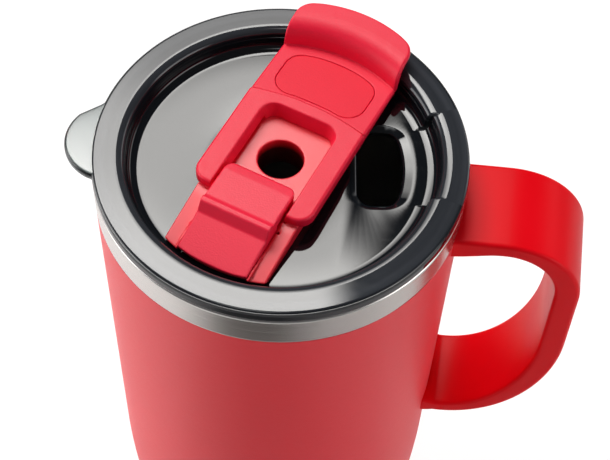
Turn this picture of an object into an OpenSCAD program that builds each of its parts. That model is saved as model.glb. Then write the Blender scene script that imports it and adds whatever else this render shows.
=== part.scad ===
// Insulated travel mug: double-wall vacuum body with a strap handle, and a
// push-in clear lid that carries a rotating closure bar with a straw-port slider.
// +Z is up, the handle points along +X, and the origin is the centre of the
// face the mug stands on.

/* [Body] */
// Height of the lid flange's top above the table
flange_z = 205; // [195:1:240]
// Radius of the steel rim
rim_r = 49; // [48.5:0.5:52]
// Draft of the upper wall, radius lost per mm of height
draft = 0.01; // [0:0.005:0.02]
// Height at which the lower wall starts to curve in
bend_z = 73; // [60:1:85]
// Radius of the curve that narrows the lower wall
bend_r = 344; // [320:1:420]
// Height of the bare steel band under the lid flange
band_h = 10; // [6:0.5:14]
// Sheet thickness of both walls
sheet = 0.8; // [0.6:0.1:1]
// Distance from the outer face to the inner vessel's bore
wall_gap = 4.8; // [4.4:0.1:5]

/* [Handle] */
// Width of the strap across the hand
strap_w = 24.5; // [20:0.5:30]
// Thickness of the strap
strap_t = 5; // [4.6:0.1:6]
// How far the strap's outer face stands from the axis
strap_x = 83; // [78:0.5:90]
// Height of the strap's outer face from lower to upper arm
strap_h = 96.5; // [88:0.5:110]

/* [Lid] */
// Azimuth of the drinking opening from the handle
lid_az = 7; // [-20:1:20]
// Flange thickness
flange_t = 3.85; // [3:0.05:4.5]
// Depth of the dished deck under the flange top
deck_d = 5.86; // [5.8:0.02:6]
// Half width of the drinking opening
open_hw = 11.8; // [9:0.1:12.5]
// Half width of the pull ear
ear_hw = 12; // [10:0.5:14]

/* [Closure bar] */
// Azimuth of the bar from the drinking opening
bar_az = 63; // [20:1:85]
// Half width of the cover frame
bar_hw = 16.86; // [16.2:0.02:17]
// Radius of the straw bore
straw_r = 6.05; // [5:0.05:6.1]
// Height of the thumb tab above the flange
tab_z = 5.35; // [5:0.05:6.5]
// Distance from the axis to the tip of the thumb tab
tab_tip = 47.9; // [46:0.1:50]

/* [Hidden] */
rim_z = flange_z - flange_t;
band_z = rim_z - band_h;
recess_r = 37.5;      // recess in the outer shell's underside
hub_r = 8.6;          // rotor hub that turns in the lid
seg = 96;

// ---------- helpers ----------
function unit(v) = v / norm(v);
function last(list) = list[len(list) - 1];
function reversed(list) = [for (i = [len(list) - 1 : -1 : 0]) list[i]];
// X at which a circle centred on the origin reaches height y
function circle_x(radius, y) = sqrt(radius * radius - y * y);

// arc that rounds a corner point between its two neighbours
function corner(point, before, after, radius, count) = radius <= 0 ? [point] :
    let (to_before = unit(before - point), to_after = unit(after - point),
         half = acos(to_before * to_after) / 2,
         start = point + to_before * radius / tan(half),
         end = point + to_after * radius / tan(half),
         centre = point + unit(to_before + to_after) * radius / sin(half),
         from = atan2(start[1] - centre[1], start[0] - centre[0]),
         to = atan2(end[1] - centre[1], end[0] - centre[0]),
         sweep = to - from > 180 ? to - from - 360 : to - from < -180 ? to - from + 360 : to - from)
    [for (i = [0 : count]) let (a = from + sweep * i / count) centre + radius * [cos(a), sin(a)]];
// outline whose corners [x, y, radius] are each rounded by their own radius
function rounded(corners, count = 6) = let (total = len(corners))
    [for (i = [0 : total - 1])
        let (here = corners[i], before = corners[(i + total - 1) % total],
             after = corners[(i + 1) % total])
        each corner([here[0], here[1]], [before[0], before[1]], [after[0], after[1]],
                    here[2], count)];
// corners followed by their mirror image across the X axis
function sym(corners) = concat(corners,
    [for (p = reversed(corners)) if (p[1] != 0) [p[0], -p[1], p[2]]]);
// sharp corners along a circle centred at [centre_x, 0]
function arc_run(centre_x, radius, from, to, count) =
    [for (i = [0 : count]) let (a = from + (to - from) * i / count)
        [centre_x + radius * cos(a), radius * sin(a), 0]];
// bend from one slope to another, for a profile that runs outwards and up
function bow(start, radius, from, to, count) =
    [for (i = [1 : count]) let (a = from + (to - from) * i / count, turn = to > from ? 1 : -1)
        [start[0] + turn * radius * (sin(a) - sin(from)),
         start[1] + turn * radius * (cos(from) - cos(a))]];

// outer radius of the mug at height z
function wall_r(z) =
    rim_r - draft * (rim_z - z) - (z < bend_z ? pow(bend_z - z, 2) / (2 * bend_r) : 0);
// [radius, z] line of the wall moved in by inset, from z0 up to z1
function wall_line(z0, z1, inset, count = 16) =
    [for (i = [0 : count]) let (z = z0 + (z1 - z0) * i / count) [wall_r(z) - inset, z]];

// solid of revolution from a [radius, z] profile
module revolve(profile) { rotate_extrude($fn = seg) polygon(profile); }
// frames with z = 0 at the flange top: the lid's +X points to the drinking
// opening, the bar's +X to the thumb tab
module lid_frame() { translate([0, 0, flange_z]) rotate([0, 0, lid_az]) children(); }
module bar_frame() { translate([0, 0, flange_z]) rotate([0, 0, bar_az + lid_az]) children(); }

// ---------- vessel ----------
module outer_shell() {
    color("#c8323f") revolve(concat(
        [[recess_r, 1], [wall_r(1) - 1.4, 1], [wall_r(1) - 0.5, 1.3], [wall_r(1) - 0.05, 2.2]],
        wall_line(3.4, band_z, 0),
        [[wall_r(band_z) - sheet, band_z]],
        reversed(wall_line(3.4, band_z - 2, sheet)),
        [[wall_r(3) - 1.2, 2.2], [wall_r(1) - 1.7, 1.8], [recess_r, 1.8]]));
}

module inner_liner() {
    outer_inset = wall_gap - sheet;
    tongue_z = band_z - 4;
    bowl_r = wall_r(12) - wall_gap;
    bowl_outer_r = wall_r(12) - outer_inset;
    color("#b9b7b2") revolve(concat(
        // bowl of the inner vessel, then the bore up to the rolled lip
        [[0, 10], [bowl_r - 9, 10], [bowl_r - 4.5, 11.2], [wall_r(14) - wall_gap - 1.4, 14.2]],
        wall_line(18, rim_z - 1.2, wall_gap),
        [[rim_r - wall_gap + 0.35, rim_z - 0.35], [rim_r - wall_gap + 1.1, rim_z],
         [rim_r - 1.1, rim_z], [rim_r - 0.35, rim_z - 0.35], [rim_r, rim_z - 1.2]],
        // bare band flush with the coated wall, with a tongue behind it
        [[wall_r(band_z), band_z], [wall_r(band_z) - sheet, band_z],
         [wall_r(tongue_z) - sheet, tongue_z], [wall_r(tongue_z) - 2 * sheet, tongue_z],
         [rim_r - 2 * sheet, rim_z - 1.6], [rim_r - outer_inset, rim_z - 1.6]],
        // outside of the inner vessel, down to its underside
        reversed(wall_line(18, rim_z - 3, outer_inset)),
        [[wall_r(14) - outer_inset - 1.1, 13.4], [bowl_outer_r - 4.6, 10.2],
         [bowl_outer_r - 9, 9.2], [0, 9.2]]));
}

module base_cap() {
    cap_r = recess_r - 0.1;
    color("#a9a8a6") difference() {
        revolve([[0, 3.6], [7.5, 3.6], [8.6, 2.2], [cap_r, 2.2], [cap_r, 5.6], [36.6, 5.6],
                 [36.6, 3], [9.2, 3], [8.1, 4.4], [0, 4.4]]);
        translate([0, 0, 3]) cylinder(r = 1.2, h = 3, $fn = 32);
    }
}

module vacuum_seal() {
    color("#8d8a80") translate([0, 0, 2.75]) cylinder(r = 5, h = 0.85, $fn = 48);
}

module getter() {
    color("#77736d") translate([20, 0, 3]) difference() {
        cylinder(r = 6, h = 3, $fn = 48);
        translate([0, 0, 1.8]) cylinder(r = 4.4, h = 2, $fn = 48);
    }
}

module reflector_foil() {
    liner_inset = wall_gap - sheet;
    color("#b87333") revolve(concat(
        wall_line(20, band_z - 8, liner_inset - 0.35),
        reversed(wall_line(20, band_z - 8, liner_inset - 0.05))));
}

module foot_pad() {
    groove_hw = 0.8;
    color("#2c2c2e") difference() {
        cylinder(r = recess_r - 0.2, h = 2.2, $fn = seg);
        translate([0, 0, 1.35]) cylinder(r = 9, h = 2, $fn = 64);
        // shallow grip channels in the contact face
        for (r = [14 : 6 : 32]) translate([0, 0, -0.4]) difference() {
            cylinder(r = r + groove_hw, h = 0.9, $fn = 72);
            translate([0, 0, -1]) cylinder(r = r - groove_hw, h = 3, $fn = 72);
        }
    }
}

// ---------- handle ----------
arm_top = band_z + 2.05;          // crest of the upper arm
arm_bot = arm_top - strap_h;      // bottom face of the lower arm
root_x = 40;                      // arms start here, inside the wall, and are trimmed
root_t = 6.6;                     // arm thickness at the wall
grip_t = 1.8;                     // how much thicker the grip is than the arms
arm_wide = 0.85;                  // how much wider each side is at the top than at the bottom
// inner ellipses of the two bends: half axes and centres, [x, z]
low_x = 50;
low_half = [strap_x - strap_t - low_x, 44];
low_centre = [low_x, arm_bot + root_t - 0.6 + low_half[1]];
up_half = [16.5, 17];
up_centre = [strap_x - strap_t, arm_top - strap_t] - up_half;
// brackets and screws
arms = [[arm_top - 4.5, arm_top - 6.75],   // [middle of bracket tab, underside of screw heads]
        [arm_bot + 4, arm_bot + 1.5]];
foot_hw = 9;
foot_hh = 2.2;                    // half height of the bracket's foot
tab_l = 17.5;
tab_t = 1.2;
screw_x = 53.5;
screw_y = 6.5;
screw_hole_r = 1.35;

// elliptical bend pushed out along its normal, its X half axis shortened by narrow
function bend(centre, half, from, step, count, out, narrow) =
    [for (i = [0 : count]) let (a = from + step * i)
        centre + [(half[0] - narrow) * cos(a), half[1] * sin(a)]
        + out * unit([cos(a) / half[0], sin(a) / half[1]])];
function low_bend(out, narrow = 0) = bend(low_centre, low_half, -90, 5, 18, out, narrow);
function up_bend(out, narrow = 0) = bend(up_centre, up_half, 0, 7.5, 12, out, narrow);
// the upper arm's top face dips towards the wall
function crest(x) = arm_top - 1.7 * pow((up_centre[0] - x) / (up_centre[0] - root_x), 1.5);
// [x, z] outline of the strap seen from the side
function strap_section() = concat(
    [[root_x, arm_bot]], low_bend(strap_t), up_bend(strap_t),
    [for (i = [1 : 6]) let (x = up_centre[0] + (root_x - up_centre[0]) * i / 6) [x, crest(x)]],
    [[root_x, arm_top - root_t - 2.6], [49.5, arm_top - root_t - 1.7],
     [55, arm_top - strap_t - 1.3]],
    reversed(up_bend(0, grip_t)), reversed(low_bend(0, grip_t)), [[root_x, arm_bot + root_t]]);

// mug wall grown outwards, used to trim parts that sit against it
module wall_solid(grow) {
    top = flange_z - 8;
    revolve(concat([[0, 40]], wall_line(40, top, -grow, 20), [[0, top]]));
}
// box as wide as a bracket, reaching out along +X
module arm_box(length, half_h, mid_z, gap = 0) {
    half_w = foot_hw + gap;
    translate([root_x, -half_w, mid_z - half_h]) cube([length, 2 * half_w, 2 * half_h]);
}
module at_screws(z) {
    for (s = [-1, 1]) translate([screw_x, s * screw_y, z]) children();
}

// pocket for the bracket's foot, slot for its tab, and the screw holes
module arm_cuts(arm) {
    intersection() {
        arm_box(20, foot_hh + 0.1, arm[0], 0.1);
        wall_solid(1.15);
    }
    arm_box(tab_l + 0.1, tab_t / 2 + 0.05, arm[0], 0.1);
    at_screws(arm[1] - 3) {
        cylinder(r = screw_hole_r, h = arm[0] - arm[1] + 5, $fn = 32);
        cylinder(r = 2.45, h = 3.95, $fn = 32);
    }
}

module handle_strap() {
    bot_hw = strap_w / 2;
    top_hw = bot_hw + arm_wide;
    color("#e31226") difference() {
        intersection() {
            translate([0, bot_hw + 2, 0]) rotate([90, 0, 0])
                linear_extrude(height = strap_w + 4) polygon(strap_section());
            rotate([90, 0, 90]) linear_extrude(height = strap_x + 5) polygon([
                [-bot_hw, arm_bot - 1], [bot_hw, arm_bot - 1],
                [top_hw, arm_top + 1], [-top_hw, arm_top + 1]]);
        }
        wall_solid(0.05);
        for (arm = arms) arm_cuts(arm);
    }
}

module bracket(arm) {
    color("#b4b4b4") difference() {
        union() {
            // foot that follows the wall
            intersection() {
                arm_box(20, foot_hh, arm[0]);
                difference() {
                    wall_solid(1.05);
                    wall_solid(0);
                }
            }
            // tab that runs into the arm
            intersection() {
                arm_box(tab_l, tab_t / 2, arm[0]);
                difference() {
                    translate([0, 0, 20]) cylinder(r = 90, h = 180, $fn = 48);
                    wall_solid(0.5);
                }
            }
        }
        at_screws(arm[0] - 5) cylinder(r = screw_hole_r, h = 10, $fn = 32);
    }
}
module bracket_upper() { bracket(arms[0]); }
module bracket_lower() { bracket(arms[1]); }

module handle_screws() {
    color("#9c9c9c") for (arm = arms) at_screws(arm[1]) difference() {
        union() {
            cylinder(r = 2.3, h = 0.9, $fn = 32);
            translate([0, 0, 0.5]) cylinder(r = 1.25, h = arm[0] - arm[1] + 1.3, $fn = 32);
        }
        // hex socket
        translate([0, 0, -1]) cylinder(r = 0.9, h = 1.5, $fn = 6);
    }
}

// ---------- lid ----------
hub_bore_r = hub_r + 0.08;
plug_r = 43.95;       // wall that pushes into the mug
ear_r = ear_hw + 0.5;
ear_y = 2.62;         // offset of the pull ear to +Y
ear_rim_r = 49;       // rim radius the ear outline is drawn for

// dish wall from the deck up to the flange, moved outwards by grow
function dish(grow) = let (
        start = [36.9 + grow, -deck_d],
        brow_start = [40.33 + grow, -1.67],
        low = concat([start], bow(start, 4.5, 0, 25, 3)),
        foot = concat(low, bow(last(low), 2, 25, 80, 4)))
    concat(foot, [brow_start], bow(brow_start, 1.8, 80, 25, 4),
           [[41.95 + grow, -0.1], [42.91 + grow, 0]]);

module drink_outline(grow) {
    half_w = open_hw + grow;
    far_r = 32 + grow;
    far_x = circle_x(far_r, half_w);
    arc = asin(half_w / far_r) - 8;
    polygon(rounded(concat([[20 - grow, half_w, 4 + grow], [far_x, half_w, 4]],
        arc_run(0, far_r, arc, -arc, 6),
        [[far_x, -half_w, 4], [20 - grow, -half_w, 4 + grow]])));
}

// pull ear: a round lobe on the -X side that leaves the rim in two soft fillets
function on_rim(y, radius) = [-circle_x(radius, y), y, 0];
function ear_outline() = rounded(concat(
    [on_rim(ear_y + ear_r + 4.4, 48.6), [-46.9, ear_y + ear_r - 0.42, 5]],
    [for (a = [138 : 7 : 243]) [ear_r - 56.17 + ear_r * cos(a), ear_y + ear_r * sin(a), 0]],
    [[-47.9, ear_y - ear_r + 0.88, 2.5], on_rim(ear_y - ear_r - 8, 48.9)]));

// [radius, z]: deck, dish, flange, plug wall with gasket groove, underside, hub sleeve
function lid_profile() = concat([[hub_bore_r, -deck_d]], dish(0),
    [[47.6, 0], [48.5, -0.35], [rim_r, -1.2], [rim_r, -flange_t + 0.7],
     [48.4, -flange_t], [plug_r, -flange_t],
     [plug_r, -9.4], [42.2, -9.4], [42.2, -13.4], [plug_r, -13.4],
     [plug_r, -15.3], [43.1, -16.2], [40.2, -16.2], [40.2, -10.2],
     [38.6, -8.1], [12.4, -8.1], [12.4, -11], [hub_bore_r, -11]]);

module lid_body() {
    pour_angle = 37;
    color([0.25, 0.25, 0.27, 0.7]) lid_frame() difference() {
        union() {
            revolve(lid_profile());
            translate([ear_rim_r - rim_r, 0, -2.9])
                linear_extrude(height = 2.5) polygon(ear_outline());
        }
        // wider pour sector of the dish
        rotate([0, 0, -pour_angle / 2]) rotate_extrude(angle = pour_angle, $fn = seg)
            polygon(concat([[36.6, -deck_d - 0.04], [36.6, 1], [46, 1]],
                           reversed(dish(1.45)), [[38.3, -deck_d - 0.04]]));
        // drinking opening with a lowered surround
        translate([0, 0, -12]) linear_extrude(height = 8) drink_outline(0);
        translate([0, 0, -deck_d - 0.9]) linear_extrude(height = 2) drink_outline(1.6);
    }
}

module lid_gasket() {
    color("#d9d9d6") lid_frame() revolve([
        [42.25, -9.5], [43.3, -9.5], [44.08, -10.1], [44.08, -10.5], [43.4, -10.9],
        [43.4, -11.9], [44.08, -12.3], [44.08, -12.7], [43.3, -13.3], [42.25, -13.3]]);
}

// ---------- closure bar, drawn along +X of its own frame ----------
base_hw = 14.45;      // half width of the rotor base
rail_y = 10.9;        // inner side of the rails
prong_y = 10.1;       // inner side of the fork's prongs
floor_z = -3.6;       // slider track
rail_z = -1.65;       // seat of the cover on the rails
under_z = -5.6;       // underside, just over the deck
fork_x = -18.2;       // where the base opens into a fork

module bar_slab(half_w, x0, x1, z0, z1) {
    translate([x0, -half_w, z0]) cube([x1 - x0, 2 * half_w, z1 - z0]);
}
// two boxes, one on each side of the bar
module side_slabs(y0, y1, x0, x1, z0, z1) {
    for (s = [-1, 1]) translate([x0, s > 0 ? y0 : -y1, z0]) cube([x1 - x0, y1 - y0, z1 - z0]);
}
module ring(outer_r, inner_r, height) {
    difference() {
        cylinder(r = outer_r, h = height, $fn = 64);
        translate([0, 0, -1]) cylinder(r = inner_r, h = 4, $fn = 64);
    }
}
module pad_outline(grow) {
    half_w = 13.2 + grow;
    polygon(rounded(sym([[17.6 - grow, half_w, 3], [32.2 + grow, half_w, 3],
                         [35.2 + grow, 0, 40]])));
}

// floor and rails before they are trimmed to the round deck
module forked_bar() {
    difference() {
        union() {
            bar_slab(base_hw, -40, 40, under_z, floor_z);
            // rails under the frame arms, running down to the open end
            side_slabs(rail_y, base_hw, -40, 13, under_z, rail_z);
            side_slabs(prong_y, base_hw, -40, fork_x, under_z, rail_z);
        }
        // open fork between the prongs
        bar_slab(prong_y, -45, fork_x, under_z - 1, 2);
        // tongue grooves behind the arms
        bar_slab(rail_y, -21.6, fork_x + 0.01, floor_z, -2.35);
        // sloping top of the prongs
        translate([fork_x, -20, rail_z]) rotate([0, -8.6, 0])
            translate([-40, 0, 0]) cube([40, 40, 8]);
    }
}

module rotor_base() {
    color("#e23a4c") bar_frame() difference() {
        union() {
            intersection() {
                forked_bar();
                revolve([[0, -8], [36.4, -8], [36.4, under_z], [37.2, under_z],
                         [38.3, -4.5], [38.3, 3], [0, 3]]);
            }
            translate([0, 0, -13.4]) cylinder(r = hub_r, h = 8.6, $fn = seg);
        }
        // straw bore, snap groove, seal groove, and the pad's seat
        translate([0, 0, -15]) cylinder(r = straw_r, h = 14, $fn = 64);
        translate([0, 0, -12.6]) ring(11, 7.8, 1.5);
        translate([0, 0, under_z - 0.4]) ring(12.2, 10.2, 1.4);
        translate([0, 0, under_z - 1]) linear_extrude(height = 2.1) pad_outline(0.05);
    }
}

module drink_pad() {
    color("#dcdcd8") bar_frame() translate([0, 0, -5.82])
        linear_extrude(height = 1.3) pad_outline(0);
}

module hub_seal() {
    color("#dcdcd8") bar_frame() translate([0, 0, -5.22])
        rotate_extrude($fn = 64) translate([11.2, 0]) circle(r = 0.6, $fn = 24);
}

module hub_retainer() {
    color("#b81426") bar_frame() translate([0, 0, -12.5]) difference() {
        cylinder(r = 11.6, h = 1.3, $fn = 64);
        translate([0, 0, -1]) cylinder(r = 7.85, h = 4, $fn = 64);
        translate([-14, -1.5, -1]) cube([8, 3, 4]);
    }
}

// ---------- cover ----------
step_r = 63;              // curved step across the cover
step_cx = 16.5 - step_r;  // centre of the step's curve
plate_x = 14;             // where the sloping plate's plane is hinged
badge_d = 0.9;            // depth of the badge's seat

// frame of the plate that falls towards the thumb tab
module plate_frame() { translate([plate_x, 0, 0.35]) rotate([0, 4.4, 0]) children(); }

module window_outline(inset) {
    half_w = 10.85 - inset;
    polygon(rounded(sym([[-24, half_w, 0], [12.9 - 1.5 * inset, half_w, 4.2 - inset / 2]])));
}
module cover_outline() {
    tip_r = 35;
    tip_cx = tab_tip - tip_r;
    x = tip_cx + circle_x(tip_r, bar_hw);
    polygon(rounded(concat([[-17.9, bar_hw, 4.4], [x, bar_hw, 5.5]],
        arc_run(tip_cx, tip_r, 20, -20, 10),
        [[x, -bar_hw, 5.5], [-17.9, -bar_hw, 4.4]]), 8));
}
module badge_outline(grow) {
    half_w = 12.9 + grow;
    far_r = 33.5 + grow;
    near_r = 64.4 - grow;
    far_x = circle_x(far_r, half_w);
    near_x = step_cx + circle_x(near_r, half_w);
    polygon(rounded(concat([[near_x, half_w, 5], [far_x, half_w, 5]],
        arc_run(0, far_r, 13, -13, 6), [[far_x, -half_w, 5], [near_x, -half_w, 5]],
        arc_run(step_cx, near_r, -5, 5, 4)), 8));
}

// slab of the cover, with the plate beyond the curved step lowered
module cover_slab() {
    difference() {
        translate([0, 0, floor_z]) cylinder(r = 36.75, h = 0.9 - floor_z, $fn = seg);
        difference() {
            plate_frame() translate([-4, -30, 0]) cube([50, 60, 6]);
            translate([step_cx, 0, -8]) cylinder(r = step_r, h = 20, $fn = 180);
        }
    }
}
// riser and thumb tab, concentric with the lid
module thumb_tab() {
    revolve([[36.6, floor_z], [36.7, -1.45], [37.1, 1], [37.7, 2.8], [38.8, 4.2],
             [40.2, tab_z - 0.3], [42, tab_z], [56, tab_z], [56, tab_z - 2], [42.6, tab_z - 2],
             [41, tab_z - 2.5], [40, tab_z - 3.7], [39.3, 0.2], [38.5, floor_z]]);
}

module cover_frame() {
    color("#f0495a") bar_frame() difference() {
        intersection() {
            linear_extrude(height = 30, center = true) cover_outline();
            union() {
                cover_slab();
                thumb_tab();
            }
        }
        // window with battered walls, and the undercut that holds the slider
        for (i = [0 : 3]) translate([0, 0, floor_z + 1.15 * i - 0.02])
            linear_extrude(height = 8) window_outline(1.2 - 0.4 * i);
        bar_slab(rail_y, -30, 9.6, floor_z - 1, -2.3);
        // seats on the rails
        side_slabs(rail_y, base_hw + 0.05, -30, 13.05, floor_z - 1, rail_z);
        // side skirts stop short of the deck
        side_slabs(base_hw - 0.01, 20, -30, 50, floor_z - 1, -2.2);
        // seat of the badge
        plate_frame() translate([0, 0, -badge_d]) intersection() {
            translate([0, -30, 0]) cube([40, 60, 4]);
            translate([-plate_x, 0, -1]) linear_extrude(height = 8) badge_outline(0.12);
        }
    }
}

module cover_badge() {
    color("#e8374a") bar_frame() plate_frame() translate([-plate_x, 0, -badge_d])
        linear_extrude(height = 0.86) badge_outline(0);
}

// ---------- slider ----------
slider_x = -8.8;             // end nearest the thumb tab
seal_x = slider_x - 8;       // centre of the round seal
// side profile: [x, z, corner radius]
slider_side = [
    [slider_x, -3.5, 0.3], [slider_x, -0.6, 0.4], [-9.9, 0.9, 1.1], [-12.5, 1.45, 6],
    [-22.4, 1.85, 3], [-23.4, 2.5, 0.7], [-24.5, 2.4, 0.6], [-26.2, -0.3, 1],
    [-37.4, -3.2, 0.6], [-37.4, -5.4, 0.3], [-35.5, -5.4, 0.3], [-35.5, -3.5, 0.3]];
slider_low = [[-40, 9.2, 0], [slider_x, 9.2, 3]];                 // half plan, lower part
slider_top = [[-40, 9.9, 0], [-9.2, 9.9, 3.4], [-8.6, 0, 60]];    // half plan, upper part

module straw_slider() {
    color("#ee4456") bar_frame() difference() {
        union() {
            intersection() {
                translate([0, 9.9, 0]) rotate([90, 0, 0])
                    linear_extrude(height = 19.8) polygon(rounded(slider_side, 5));
                union() {
                    translate([0, 0, -10]) linear_extrude(height = 20)
                        polygon(rounded(sym(slider_low)));
                    translate([0, 0, -0.9]) linear_extrude(height = 20)
                        polygon(rounded(sym(slider_top)));
                    bar_slab(9.9, -40, -25, -6, 0);
                }
                revolve([[0, -8], [36.9, -8], [36.9, -5.4], [37.8, -3.4], [37.8, 4], [0, 4]]);
            }
            // tongues that run under the frame
            bar_slab(10.6, -21.2, -10.6, -3.45, -2.5);
        }
        translate([seal_x, 0, -4]) cylinder(r = 7.25, h = 1.4, $fn = 64);
    }
}

module slider_seal() {
    color("#dcdcd8") bar_frame() translate([seal_x, 0, -3.57])
        cylinder(r = 7.2, h = 0.95, $fn = 64);
}

outer_shell();
inner_liner();
base_cap();
vacuum_seal();
getter();
reflector_foil();
foot_pad();
handle_strap();
bracket_upper();
bracket_lower();
handle_screws();
lid_body();
lid_gasket();
rotor_base();
hub_seal();
drink_pad();
hub_retainer();
cover_frame();
cover_badge();
straw_slider();
slider_seal();
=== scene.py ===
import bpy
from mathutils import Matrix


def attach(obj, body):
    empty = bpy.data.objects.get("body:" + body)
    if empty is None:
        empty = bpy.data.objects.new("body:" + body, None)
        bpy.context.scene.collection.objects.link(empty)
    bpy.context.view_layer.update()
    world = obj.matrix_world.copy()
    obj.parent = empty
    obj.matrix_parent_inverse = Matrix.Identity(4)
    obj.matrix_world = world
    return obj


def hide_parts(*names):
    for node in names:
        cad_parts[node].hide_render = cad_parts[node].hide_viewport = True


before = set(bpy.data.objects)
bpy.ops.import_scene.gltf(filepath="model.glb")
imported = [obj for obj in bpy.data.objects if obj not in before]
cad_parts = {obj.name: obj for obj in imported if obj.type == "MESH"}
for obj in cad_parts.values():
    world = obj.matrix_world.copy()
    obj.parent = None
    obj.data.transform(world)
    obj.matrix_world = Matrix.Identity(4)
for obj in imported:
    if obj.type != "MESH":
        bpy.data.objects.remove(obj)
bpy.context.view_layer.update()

from math import acos, asin, atan2, ceil, cos, degrees, pi, radians, sin, sqrt
import bpy
import bmesh
import numpy as np
from mathutils import Vector, Matrix
from mathutils.geometry import delaunay_2d_cdt

# ------------------------------------------------------------------ sizes, mm and degrees
FLANGE_Z = 205.0                # top of the lid's flange
FLANGE_T = 3.85
RIM_R = 49.0                    # outside radius of the mug at its rim
RIM_Z = FLANGE_Z - FLANGE_T
BAND_H = 10.0                   # bare steel band under the rim
BAND_Z = RIM_Z - BAND_H
DRAFT = 0.01                    # the wall's loss of radius per mm down
BEND_Z, BEND_R = 73.0, 344.0    # below BEND_Z the wall also curves inwards
SHEET = 0.8                     # sheet thickness
GAP = 4.8                       # outside of the wall to the bore

LID_TURN, BAR_TURN = 7, 70
DECK = 5.86                     # depth of the lid's sunken deck
HUB_R = 8.6
POUR_HALF = 18.5                # half angle of the sector where the lid's dish is wider
POUR_OUT = 1.45                 # how much wider

STRAP_W, STRAP_T = 24.5, 5.0
STRAP_X = 83.0                  # outermost reach of the handle
STRAP_H = 96.5


def wall_r(z):
    """Outside radius of the mug at height z."""
    curve = (BEND_Z - z) ** 2 / (2 * BEND_R) if z < BEND_Z else 0.0
    return RIM_R - DRAFT * (RIM_Z - z) - curve


def turned(azimuth, z):
    """Frame turned about Z and raised to z."""
    matrix = np.eye(4)
    a = radians(azimuth)
    matrix[:2, :2] = [[cos(a), -sin(a)], [sin(a), cos(a)]]
    matrix[2, 3] = z
    return matrix


UNTURNED = np.eye(4)
LID = turned(LID_TURN, FLANGE_Z)
BAR = turned(BAR_TURN, FLANGE_Z)


# ------------------------------------------------------------------ outlines
def unit(v):
    v = np.asarray(v, float)
    return v / np.linalg.norm(v)


def rounded(corners, per_quarter, open_ends=False):
    """Outline through corners (x, y, radius), with per_quarter steps in a quarter turn."""
    out, last = [], len(corners) - 1
    for i, (x, y, radius) in enumerate(corners):
        if open_ends and i in (0, last) or radius <= 0:
            out.append((x, y))
            continue
        corner = np.array((x, y), float)
        before = unit(np.array(corners[i - 1][:2], float) - corner)
        after = unit(np.array(corners[(i + 1) % (last + 1)][:2], float) - corner)
        half = acos(max(-1, min(1, float(before @ after)))) / 2
        if half > radians(89.5):                # as good as straight
            out.append((x, y))
            continue
        centre = corner + unit(before + after) * radius / sin(half)
        start = corner + before * radius / np.tan(half) - centre
        end = corner + after * radius / np.tan(half) - centre
        a0, a1 = atan2(*start[::-1]), atan2(*end[::-1])
        sweep = (a1 - a0 + pi) % (2 * pi) - pi
        steps = max(2, int(round(per_quarter * abs(sweep) / (pi / 2))))
        for j in range(steps + 1):
            a = a0 + sweep * j / steps
            out.append((centre[0] + radius * cos(a), centre[1] + radius * sin(a)))
    return out


def arc(centre_x, radius, a0, a1, steps):
    """Sharp corners along an arc centred on the X axis."""
    angles = [radians(a0 + (a1 - a0) * i / steps) for i in range(steps + 1)]
    return [(centre_x + radius * cos(a), radius * sin(a), 0) for a in angles]


def bow(start, radius, slope0, slope1, steps):
    """Points after start where a profile bends from one slope to another, in degrees."""
    way = 1 if slope1 > slope0 else -1
    angles = [radians(slope0 + (slope1 - slope0) * i / steps) for i in range(1, steps + 1)]
    s0, c0 = sin(radians(slope0)), cos(radians(slope0))
    return [(start[0] + way * radius * (sin(a) - s0), start[1] + way * radius * (c0 - cos(a)))
            for a in angles]


def spline(points, steps):
    """Centripetal Catmull-Rom through the points, with steps to each span."""
    P = [np.array(p, float) for p in points]
    P = [2 * P[0] - P[1]] + P + [2 * P[-1] - P[-2]]
    out = []
    for i in range(1, len(P) - 2):
        p0, p1, p2, p3 = P[i - 1:i + 3]
        t0 = 0.0
        t1 = t0 + np.linalg.norm(p1 - p0) ** 0.5
        t2 = t1 + np.linalg.norm(p2 - p1) ** 0.5
        t3 = t2 + np.linalg.norm(p3 - p2) ** 0.5
        for j in range(steps + (i == len(P) - 3)):
            t = t1 + (t2 - t1) * j / steps
            a1 = (t1 - t) / (t1 - t0) * p0 + (t - t0) / (t1 - t0) * p1
            a2 = (t2 - t) / (t2 - t1) * p1 + (t - t1) / (t2 - t1) * p2
            a3 = (t3 - t) / (t3 - t2) * p2 + (t - t2) / (t3 - t2) * p3
            b1 = (t2 - t) / (t2 - t0) * a1 + (t - t0) / (t2 - t0) * a2
            b2 = (t3 - t) / (t3 - t1) * a2 + (t - t1) / (t3 - t1) * a3
            out.append((t2 - t) / (t2 - t1) * b1 + (t - t1) / (t2 - t1) * b2)
    return [tuple(p) for p in out]


def resample(points, step):
    """Even points around a closed outline, at most step apart."""
    P = np.array(points, float)
    P = np.vstack([P, P[:1]])
    run = np.concatenate([[0], np.cumsum(np.linalg.norm(np.diff(P, axis=0), axis=1))])
    count = max(8, int(ceil(run[-1] / step)))
    at = np.linspace(0, run[-1], count + 1)[:-1]
    return np.stack([np.interp(at, run, P[:, k]) for k in range(2)], 1)


def outward(P):
    """Unit normals of a closed outline, pointing away from its middle."""
    d = np.roll(P, -1, 0) - np.roll(P, 1, 0)
    N = np.stack([d[:, 1], -d[:, 0]], 1)
    N /= np.linalg.norm(N, axis=1, keepdims=True)
    return -N if (N * (P - P.mean(0))).sum() < 0 else N


def supports(points, gap=0.1, long=1.2):
    """Adds a point just inside both ends of each long straight run, so flats shade flat."""
    P = [np.array(p, float) for p in points]
    out = []
    for a, b in zip(P, P[1:]):
        out.append(a)
        length = np.linalg.norm(b - a)
        if length > long:
            out += [a + (b - a) * gap / length, b - (b - a) * gap / length]
    out.append(P[-1])
    return [tuple(p) for p in out]


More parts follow.
